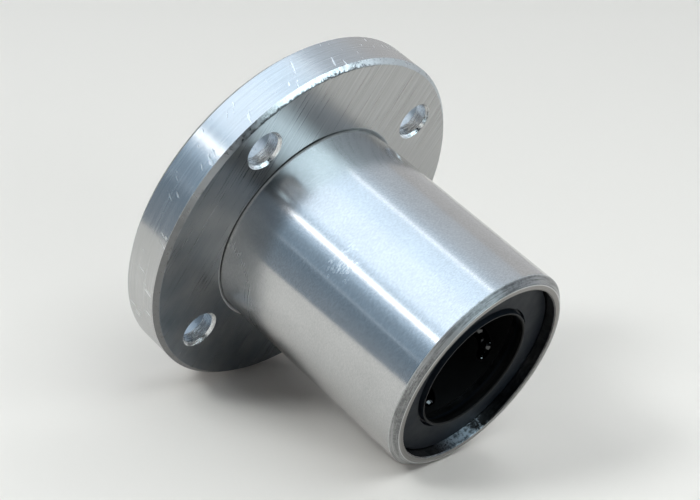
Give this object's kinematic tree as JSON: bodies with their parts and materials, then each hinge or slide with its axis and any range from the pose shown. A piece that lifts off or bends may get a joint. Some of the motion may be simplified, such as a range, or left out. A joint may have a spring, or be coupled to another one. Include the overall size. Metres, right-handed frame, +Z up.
{
  "type": "linear ball bushing",
  "caption": "Round-flanged linear ball bushing: ground steel barrel with sealed ball-guided bore, flange with counterbored screw holes round one end.",
  "frame": {"origin": "centre of the bore, in the flange's seating face (the face the barrel stands out of)", "axes": "+Y along the bore from the flange to the barrel's free end, +Z up, screw holes at 45 degrees to X and Z"},
  "size_m": [0.048, 0.037, 0.048],
  "materials": {
    "ground_steel": "ground and polished bearing steel",
    "turned_steel": "turned steel, straight-brushed seating face",
    "ring_steel": "plain steel",
    "ball_steel": "polished bearing steel",
    "black_plastic": "moulded black plastic",
    "seal_rubber": "moulded black rubber, slight sheen"
  },
  "bodies": {
    "housing": {"outer_sleeve": "ground_steel", "flange": "turned_steel", "ball_retainer": "black_plastic", "front_end_ring": "ring_steel", "rear_end_ring": "ring_steel", "front_seal": "seal_rubber", "rear_seal": "seal_rubber"},
    "loaded_balls_1": {"loaded_balls_1": "ball_steel"},
    "return_balls_1": {"return_balls_1": "ball_steel"},
    "front_turn_balls_1": {"front_turn_balls_1": "ball_steel"},
    "rear_turn_balls_1": {"rear_turn_balls_1": "ball_steel"},
    "loaded_balls_2": {"loaded_balls_2": "ball_steel"},
    "return_balls_2": {"return_balls_2": "ball_steel"},
    "front_turn_balls_2": {"front_turn_balls_2": "ball_steel"},
    "rear_turn_balls_2": {"rear_turn_balls_2": "ball_steel"},
    "loaded_balls_3": {"loaded_balls_3": "ball_steel"},
    "return_balls_3": {"return_balls_3": "ball_steel"},
    "front_turn_balls_3": {"front_turn_balls_3": "ball_steel"},
    "rear_turn_balls_3": {"rear_turn_balls_3": "ball_steel"},
    "loaded_balls_4": {"loaded_balls_4": "ball_steel"},
    "return_balls_4": {"return_balls_4": "ball_steel"},
    "front_turn_balls_4": {"front_turn_balls_4": "ball_steel"},
    "rear_turn_balls_4": {"rear_turn_balls_4": "ball_steel"},
    "loaded_balls_5": {"loaded_balls_5": "ball_steel"},
    "return_balls_5": {"return_balls_5": "ball_steel"},
    "front_turn_balls_5": {"front_turn_balls_5": "ball_steel"},
    "rear_turn_balls_5": {"rear_turn_balls_5": "ball_steel"}
  },
  "joints": [
    {"name": "loaded_row_1", "type": "slide", "parent": "housing", "child": "loaded_balls_1", "axis": [0, 1, 0], "range_m": [-0.0012, 0.0012]},
    {"name": "return_row_1", "type": "slide", "parent": "housing", "child": "return_balls_1", "axis": [0, 1, 0], "range_m": [-0.0012, 0.0012]},
    {"name": "front_turn_1", "type": "hinge", "parent": "housing", "child": "front_turn_balls_1", "pos_m": [0.00516, 0.0238, 0.0079], "axis": [0.7193, 0, 0.6947], "range_deg": [-32.8, 32.8]},
    {"name": "rear_turn_1", "type": "hinge", "parent": "housing", "child": "rear_turn_balls_1", "pos_m": [0.00516, 0.0012, 0.0079], "axis": [0.7193, 0, 0.6947], "range_deg": [-32.8, 32.8]},
    {"name": "loaded_row_2", "type": "slide", "parent": "housing", "child": "loaded_balls_2", "axis": [0, 1, 0], "range_m": [-0.0012, 0.0012]},
    {"name": "return_row_2", "type": "slide", "parent": "housing", "child": "return_balls_2", "axis": [0, 1, 0], "range_m": [-0.0012, 0.0012]},
    {"name": "front_turn_2", "type": "hinge", "parent": "housing", "child": "front_turn_balls_2", "pos_m": [-0.00592, 0.0238, 0.00735], "axis": [-0.4384, 0, 0.8988], "range_deg": [-32.8, 32.8]},
    {"name": "rear_turn_2", "type": "hinge", "parent": "housing", "child": "rear_turn_balls_2", "pos_m": [-0.00592, 0.0012, 0.00735], "axis": [-0.4384, 0, 0.8988], "range_deg": [-32.8, 32.8]},
    {"name": "loaded_row_3", "type": "slide", "parent": "housing", "child": "loaded_balls_3", "axis": [0, 1, 0], "range_m": [-0.0012, 0.0012]},
    {"name": "return_row_3", "type": "slide", "parent": "housing", "child": "return_balls_3", "axis": [0, 1, 0], "range_m": [-0.0012, 0.0012]},
    {"name": "front_turn_3", "type": "hinge", "parent": "housing", "child": "front_turn_balls_3", "pos_m": [-0.00882, 0.0238, -0.00336], "axis": [-0.9903, 0, -0.1392], "range_deg": [-32.8, 32.8]},
    {"name": "rear_turn_3", "type": "hinge", "parent": "housing", "child": "rear_turn_balls_3", "pos_m": [-0.00882, 0.0012, -0.00336], "axis": [-0.9903, 0, -0.1392], "range_deg": [-32.8, 32.8]},
    {"name": "loaded_row_4", "type": "slide", "parent": "housing", "child": "loaded_balls_4", "axis": [0, 1, 0], "range_m": [-0.0012, 0.0012]},
    {"name": "return_row_4", "type": "slide", "parent": "housing", "child": "return_balls_4", "axis": [0, 1, 0], "range_m": [-0.0012, 0.0012]},
    {"name": "front_turn_4", "type": "hinge", "parent": "housing", "child": "front_turn_balls_4", "pos_m": [0.00047, 0.0238, -0.00943], "axis": [-0.1736, 0, -0.9848], "range_deg": [-32.8, 32.8]},
    {"name": "rear_turn_4", "type": "hinge", "parent": "housing", "child": "rear_turn_balls_4", "pos_m": [0.00047, 0.0012, -0.00943], "axis": [-0.1736, 0, -0.9848], "range_deg": [-32.8, 32.8]},
    {"name": "loaded_row_5", "type": "slide", "parent": "housing", "child": "loaded_balls_5", "axis": [0, 1, 0], "range_m": [-0.0012, 0.0012]},
    {"name": "return_row_5", "type": "slide", "parent": "housing", "child": "return_balls_5", "axis": [0, 1, 0], "range_m": [-0.0012, 0.0012]},
    {"name": "front_turn_5", "type": "hinge", "parent": "housing", "child": "front_turn_balls_5", "pos_m": [0.00911, 0.0238, -0.00247], "axis": [0.8829, 0, -0.4695], "range_deg": [-32.8, 32.8]},
    {"name": "rear_turn_5", "type": "hinge", "parent": "housing", "child": "rear_turn_balls_5", "pos_m": [0.00911, 0.0012, -0.00247], "axis": [0.8829, 0, -0.4695], "range_deg": [-32.8, 32.8]}
  ],
  "couplings": [
    {"joint": "front_turn_1", "follows": "loaded_row_1", "rad_per_m": 476.19},
    {"joint": "rear_turn_1", "follows": "loaded_row_1", "rad_per_m": 476.19},
    {"joint": "return_row_1", "follows": "loaded_row_1", "ratio": -1},
    {"joint": "front_turn_2", "follows": "loaded_row_1", "rad_per_m": 476.19},
    {"joint": "rear_turn_2", "follows": "loaded_row_1", "rad_per_m": 476.19},
    {"joint": "loaded_row_2", "follows": "loaded_row_1", "ratio": 1},
    {"joint": "return_row_2", "follows": "loaded_row_1", "ratio": -1},
    {"joint": "front_turn_3", "follows": "loaded_row_1", "rad_per_m": 476.19},
    {"joint": "rear_turn_3", "follows": "loaded_row_1", "rad_per_m": 476.19},
    {"joint": "loaded_row_3", "follows": "loaded_row_1", "ratio": 1},
    {"joint": "return_row_3", "follows": "loaded_row_1", "ratio": -1},
    {"joint": "front_turn_4", "follows": "loaded_row_1", "rad_per_m": 476.19},
    {"joint": "rear_turn_4", "follows": "loaded_row_1", "rad_per_m": 476.19},
    {"joint": "loaded_row_4", "follows": "loaded_row_1", "ratio": 1},
    {"joint": "return_row_4", "follows": "loaded_row_1", "ratio": -1},
    {"joint": "front_turn_5", "follows": "loaded_row_1", "rad_per_m": 476.19},
    {"joint": "rear_turn_5", "follows": "loaded_row_1", "rad_per_m": 476.19},
    {"joint": "loaded_row_5", "follows": "loaded_row_1", "ratio": 1},
    {"joint": "return_row_5", "follows": "loaded_row_1", "ratio": -1}
  ]
}
